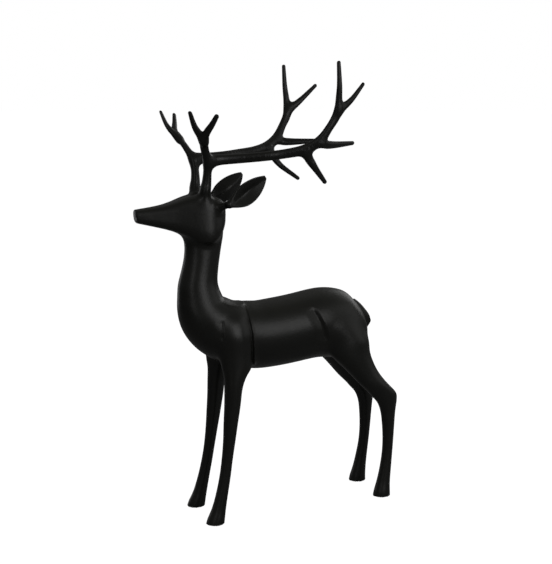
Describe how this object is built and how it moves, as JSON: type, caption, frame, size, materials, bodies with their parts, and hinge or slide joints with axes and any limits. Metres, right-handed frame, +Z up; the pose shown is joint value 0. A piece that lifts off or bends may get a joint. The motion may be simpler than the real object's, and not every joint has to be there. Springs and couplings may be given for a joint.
{
  "type": "cast iron stag statue",
  "caption": "Standing stag statue in hollow cast iron with a satin black finish, long swept-back antlers, leaf-shaped ears and slender legs; it stands on its own hooves.",
  "frame": {"origin": "On the ground under the middle of the statue's length, midway between its left and right legs.", "axes": "+Z is up and runs along the height. The stag faces -X. +Y is its right side and runs across the statue."},
  "size_m": [0.6104, 0.2812, 1],
  "materials": {
    "black_iron": "satin black paint over cast iron"
  },
  "bodies": {
    "root": {"stag": "black_iron"}
  },
  "joints": []
}
